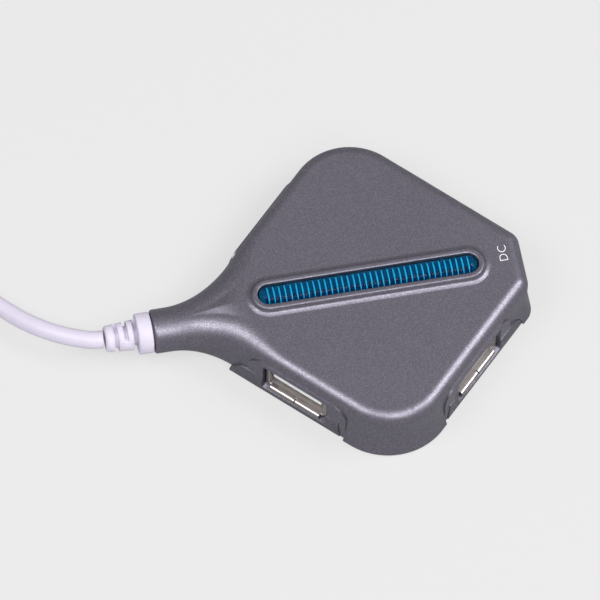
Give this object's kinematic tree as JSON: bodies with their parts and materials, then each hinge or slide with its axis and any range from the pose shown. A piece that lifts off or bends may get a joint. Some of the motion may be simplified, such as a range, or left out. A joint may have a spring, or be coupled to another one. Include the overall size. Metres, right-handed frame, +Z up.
{
  "type": "usb hub",
  "caption": "Diamond-shaped USB hub with a socket on each slanted side, a ribbed blue light bar on top, a DC inlet at one end and a captive cable at the other",
  "frame": {"origin": "under the middle of the hub, strain relief included, on the plane that its rubber feet stand on", "axes": "+X from the cable end to the DC inlet, +Z up, +Y to the back of the view"},
  "size_m": [0.1815, 0.0729, 0.0147],
  "materials": {
    "top_paint": "metallic grey paint with a faint purple tint and a fine flake, satin gloss",
    "bottom_plastic": "the same metallic grey paint on the lower shell, a little darker",
    "lens": "clear blue acrylic with fine ribs inside, polished",
    "board": "green solder mask",
    "chip": "black moulding compound",
    "crystal_can": "plated steel can",
    "capacitor_can": "bare aluminium can",
    "led": "clear surface-mounted light",
    "socket_steel": "nickel-plated sheet steel",
    "socket_plastic": "white moulded tongue",
    "contact_gold": "gold-flashed spring contacts",
    "jack_plastic": "black moulded housing",
    "jack_metal": "nickel-plated centre pin",
    "screw_steel": "zinc-plated screw",
    "foot_rubber": "black rubber pad",
    "relief_rubber": "pale grey-white moulded relief, satin",
    "wire_red": "red insulation",
    "wire_white": "white insulation",
    "wire_green": "green insulation",
    "wire_black": "black insulation",
    "cable_sheath": "pale grey-white sheath, satin",
    "tie_plastic": "black plastic strap",
    "plug_rubber": "pale grey-white overmoulded grip",
    "plug_steel": "nickel-plated sheet steel",
    "plug_plastic": "white insert"
  },
  "bodies": {
    "root": {"bottom_cover": "bottom_plastic", "cable_coil": "cable_sheath", "cable_lead": "cable_sheath", "cable_tail": "cable_sheath", "cable_tie": "tie_plastic", "capacitor": "capacitor_can", "case_screw_1": "screw_steel", "case_screw_2": "screw_steel", "circuit_board": "board", "crystal": "crystal_can", "dc_jack_housing": "jack_plastic", "dc_jack_pin": "jack_metal", "hub_chip": "chip", "led_1": "led", "led_2": "led", "led_3": "led", "light_lens": "lens", "plug_contact_1": "contact_gold", "plug_contact_2": "contact_gold", "plug_contact_3": "contact_gold", "plug_contact_4": "contact_gold", "plug_core": "plug_plastic", "plug_grip": "plug_rubber", "plug_shell": "plug_steel", "rubber_foot_1": "foot_rubber", "rubber_foot_2": "foot_rubber", "rubber_foot_3": "foot_rubber", "rubber_foot_4": "foot_rubber", "socket_contact_back_left_1": "contact_gold", "socket_contact_back_left_2": "contact_gold", "socket_contact_back_left_3": "contact_gold", "socket_contact_back_left_4": "contact_gold", "socket_contact_back_right_1": "contact_gold", "socket_contact_back_right_2": "contact_gold", "socket_contact_back_right_3": "contact_gold", "socket_contact_back_right_4": "contact_gold", "socket_contact_front_left_1": "contact_gold", "socket_contact_front_left_2": "contact_gold", "socket_contact_front_left_3": "contact_gold", "socket_contact_front_left_4": "contact_gold", "socket_contact_front_right_1": "contact_gold", "socket_contact_front_right_2": "contact_gold", "socket_contact_front_right_3": "contact_gold", "socket_contact_front_right_4": "contact_gold", "socket_shell_back_left": "socket_steel", "socket_shell_back_right": "socket_steel", "socket_shell_front_left": "socket_steel", "socket_shell_front_right": "socket_steel", "socket_tongue_back_left": "socket_plastic", "socket_tongue_back_right": "socket_plastic", "socket_tongue_front_left": "socket_plastic", "socket_tongue_front_right": "socket_plastic", "strain_relief": "relief_rubber", "top_cover": "top_paint", "wire_1": "wire_red", "wire_2": "wire_white", "wire_3": "wire_green", "wire_4": "wire_black"}
  },
  "joints": []
}
